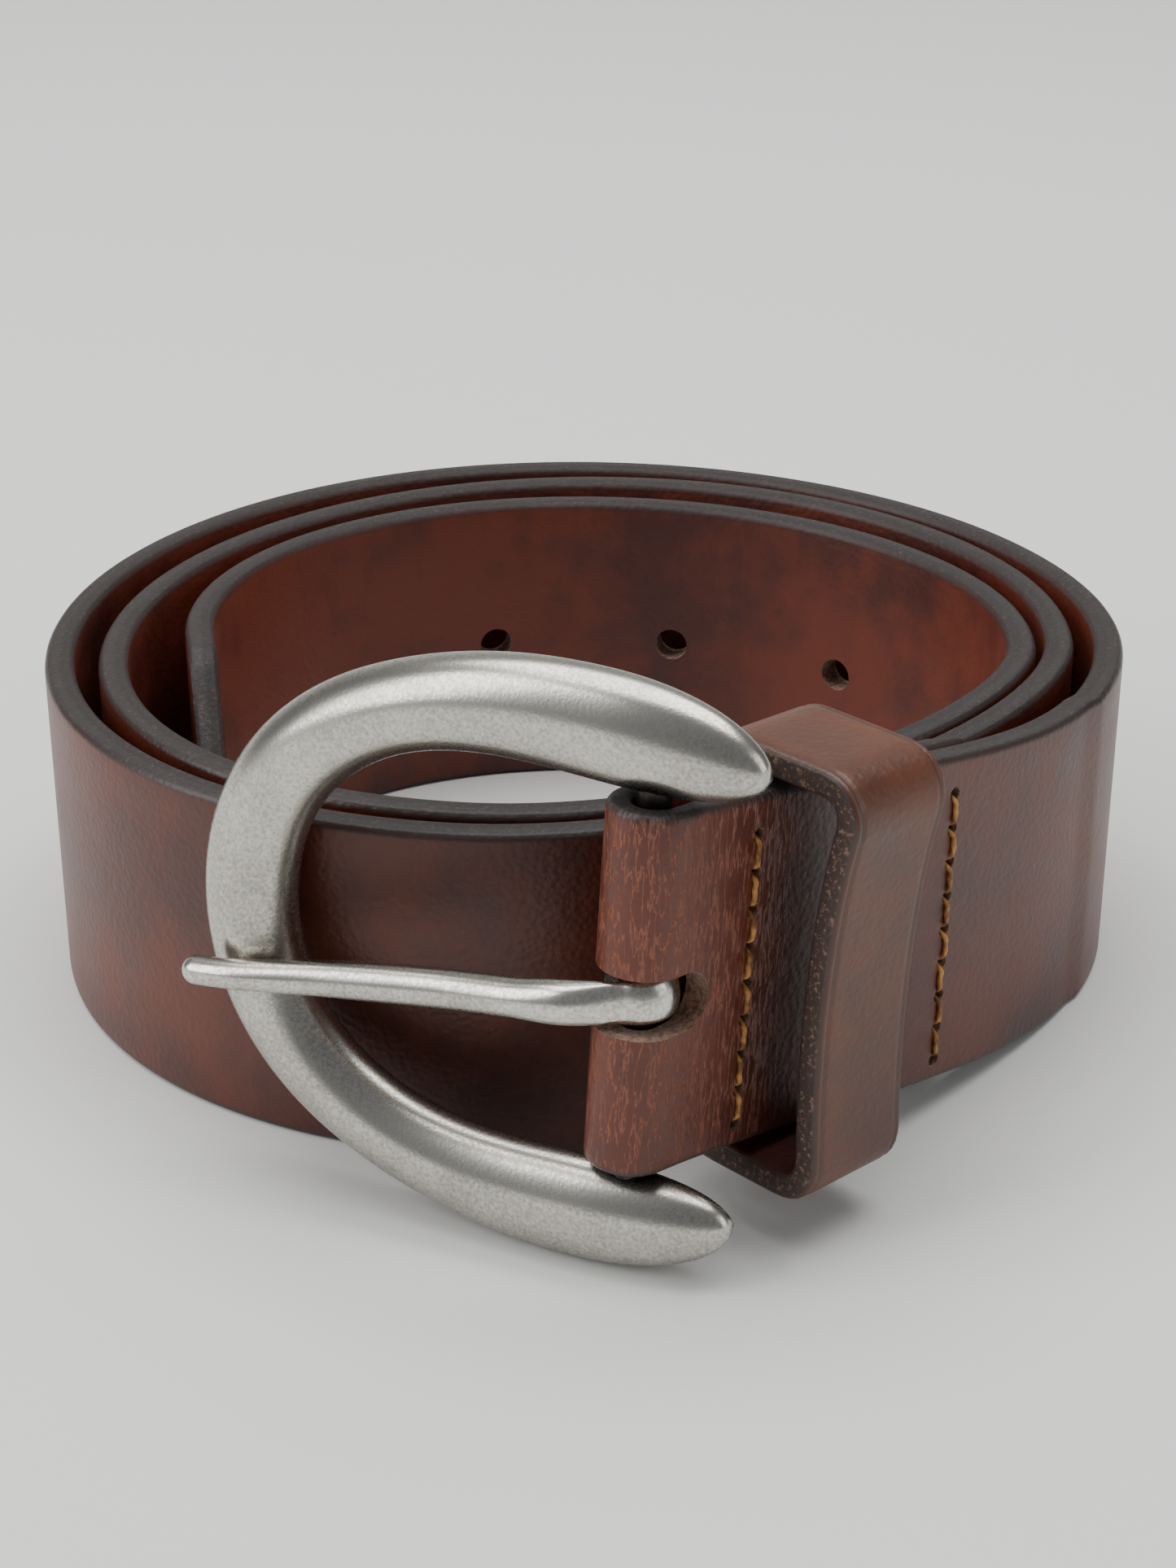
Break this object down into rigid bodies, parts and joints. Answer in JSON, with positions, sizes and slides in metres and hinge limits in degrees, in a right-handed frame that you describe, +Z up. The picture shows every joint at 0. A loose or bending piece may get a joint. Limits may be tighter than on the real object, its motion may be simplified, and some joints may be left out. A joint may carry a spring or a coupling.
{
  "type": "leather belt",
  "caption": "Rolled leather belt on edge: strap folded round a bar, horseshoe buckle with prong, loose keeper loop and stitched seams.",
  "frame": {"origin": "middle of the footprint's bounding box, on the floor that the rolled belt stands on", "axes": "+Z up, along the strap's width; +X along the strap where it passes through the keeper, away from the buckle; +Y into the roll"},
  "size_m": [0.134, 0.1336, 0.0651],
  "materials": {
    "strap_leather": "oiled cognac pull-up leather with burnished dark edges",
    "keeper_leather": "the same leather, with a raw suede edge",
    "thread": "waxed orange-tan thread",
    "buckle_metal": "antiqued silver, satin, grainy",
    "prong_metal": "antiqued silver, polished by wear",
    "bar_steel": "dark plain steel",
    "staple_steel": "plain steel wire"
  },
  "bodies": {
    "strap_body": {"strap": "strap_leather", "front_seam_face_thread": "thread", "front_seam_back_thread": "thread", "rear_seam_face_thread": "thread", "rear_seam_back_thread": "thread"},
    "keeper_body": {"keeper": "keeper_leather", "keeper_staple": "staple_steel"},
    "buckle_body": {"buckle_frame": "buckle_metal", "heel_bar": "bar_steel"},
    "prong_body": {"prong": "prong_metal"}
  },
  "joints": [
    {"name": "buckle_swing", "type": "hinge", "parent": "strap_body", "child": "buckle_body", "pos_m": [-0.04385, -0.05133, 0.0324], "axis": [0.0819, 0, 0.9966], "range_deg": [0, 80]},
    {"name": "prong_swing", "type": "hinge", "parent": "buckle_body", "child": "prong_body", "pos_m": [-0.04385, -0.05133, 0.0324], "axis": [0.0819, 0, 0.9966], "range_deg": [0, 60]},
    {"name": "keeper_slide", "type": "slide", "parent": "strap_body", "child": "keeper_body", "axis": [0.9975, -0.0211, -0.0674], "range_m": [-0.0015, 0.002]}
  ]
}
